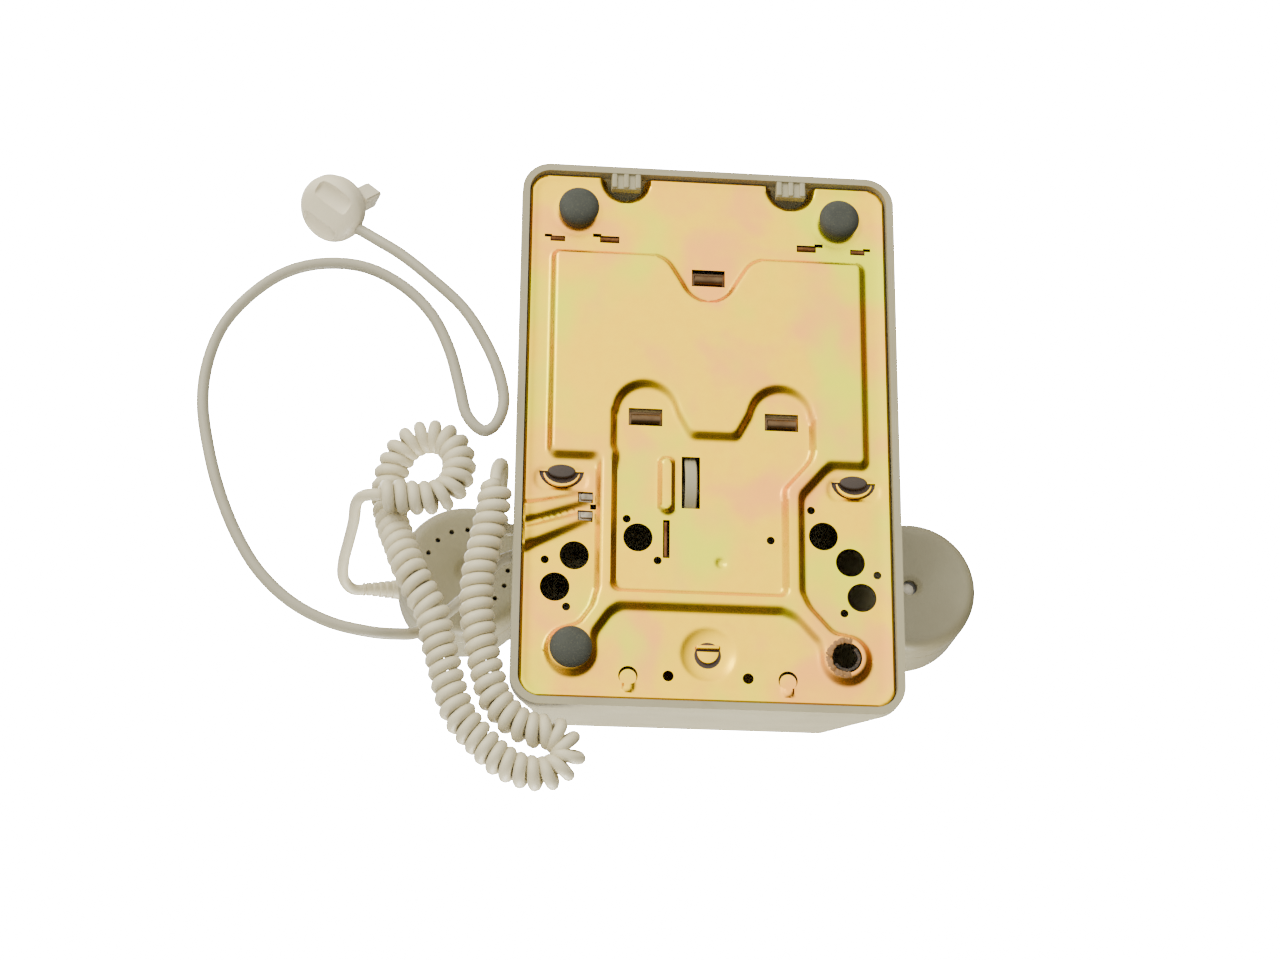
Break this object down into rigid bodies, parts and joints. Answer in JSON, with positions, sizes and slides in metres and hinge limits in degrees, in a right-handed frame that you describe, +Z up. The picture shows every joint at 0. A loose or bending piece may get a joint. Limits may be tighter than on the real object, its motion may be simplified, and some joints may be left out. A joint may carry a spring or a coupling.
{
  "type": "corded telephone",
  "caption": "Corded table telephone with a rotary dial, handset in its cradle, coiled handset cord, ringer with volume wheel, embossed base plate and a line cord with a round plug",
  "frame": {"origin": "on the table under the middle of the body, at the bottom of the feet", "axes": "+X to the phone's right along the handset, +Y to the rear where the cradle is, +Z up"},
  "size_m": [0.3013, 0.2438, 0.1103],
  "materials": {
    "shell_plastic": "satin moulded grey-beige plastic, faintly textured",
    "plunger_plastic": "satin moulded plastic",
    "plate_zinc": "yellow chromated zinc on pressed sheet steel, iridescent pink and green",
    "foot_rubber": "speckled dark grey rubber",
    "dark_metal": "darkened spring steel",
    "bright_metal": "bright nickel plated steel",
    "cord_plastic": "soft matt vinyl",
    "board": "brown laminate",
    "component": "lacquered components",
    "brass": "plain brass",
    "dial_plastic": "glossy moulded plastic",
    "case_metal": "grey lacquered metal",
    "spring_steel": "blued strip",
    "capsule": "pressed aluminium",
    "plug_plastic": "cream moulded plastic",
    "blade_metal": "tarnished contact metal"
  },
  "bodies": {
    "root": {"housing": "shell_plastic", "base_plate": "plate_zinc", "rubber_feet": "foot_rubber", "torn_foot": "foot_rubber", "plate_clips": "dark_metal", "plate_buttons": "dark_metal", "housing_catch": "plunger_plastic", "cord_clamps": "bright_metal", "cord_grommets": "cord_plastic", "volume_axle": "bright_metal", "volume_bracket": "bright_metal", "circuit_board": "board", "board_posts": "bright_metal", "induction_coil": "component", "capacitor": "component", "terminal_block": "dial_plastic", "ringer_frame": "bright_metal", "ringer_coils": "component", "gongs": "brass", "gong_screws": "bright_metal", "hammer_pivot": "bright_metal", "hook_bracket": "bright_metal", "lever_pin": "bright_metal", "switch_block": "board", "dial_case": "case_metal", "number_plate": "dial_plastic", "finger_stop": "bright_metal", "governor_bearing": "brass", "return_spring": "spring_steel", "pulse_contacts": "board", "handset_tail": "cord_plastic", "coiled_cord": "cord_plastic", "coil_tail": "cord_plastic", "line_cord": "cord_plastic", "plug_body": "plug_plastic", "plug_cover": "plug_plastic", "plug_blades": "blade_metal", "plug_peg": "plug_plastic"},
    "handset": {"handset_shell": "shell_plastic", "mouth_cap": "shell_plastic", "ear_cap": "shell_plastic", "transmitter": "capsule", "receiver": "capsule", "handset_relief": "cord_plastic"},
    "plunger": {"cradle_plunger": "plunger_plastic"},
    "lever": {"hook_lever": "bright_metal"},
    "dial": {"finger_wheel": "dial_plastic", "dial_shaft": "bright_metal", "dial_gear": "brass", "centre_cap": "dial_plastic"},
    "governor": {"governor_pinion": "bright_metal"},
    "volume": {"volume_wheel": "shell_plastic"},
    "hammer": {"hammer": "bright_metal"}
  },
  "joints": [
    {"name": "handset_lift", "type": "slide", "parent": "root", "child": "handset", "axis": [0, 0, 1], "range_m": [0, 0.06]},
    {"name": "hook_rise", "type": "slide", "parent": "root", "child": "plunger", "axis": [0, 0, 1], "range_m": [0, 0.00501]},
    {"name": "lever_turn", "type": "hinge", "parent": "root", "child": "lever", "pos_m": [0.013, 0.054, 0.056], "axis": [1, 0, 0], "range_deg": [-16.4, 0]},
    {"name": "dial_turn", "type": "hinge", "parent": "root", "child": "dial", "pos_m": [0, -0.04552, 0.05435], "axis": [0, -0.4885, 0.8726], "range_deg": [-330, 0], "stiffness_Nm_per_rad": 0.02},
    {"name": "governor_spin", "type": "hinge", "parent": "root", "child": "governor", "pos_m": [0.02112, -0.04552, 0.05435], "axis": [0, -0.4885, 0.8726], "range_deg": [0, 1981]},
    {"name": "volume_turn", "type": "hinge", "parent": "root", "child": "volume", "pos_m": [-0.0065, 0.02, 0.0187], "axis": [1, 0, 0], "range_deg": [-40, 40]},
    {"name": "hammer_swing", "type": "hinge", "parent": "root", "child": "hammer", "pos_m": [0, 0.06, 0.044], "axis": [0, 0, 1], "range_deg": [-3.5, 3.5]}
  ],
  "couplings": [
    {"joint": "hook_rise", "follows": "handset_lift", "ratio": 0.083333},
    {"joint": "lever_turn", "follows": "handset_lift", "rad_per_m": -4.7333},
    {"joint": "governor_spin", "follows": "dial_turn", "ratio": -6}
  ]
}
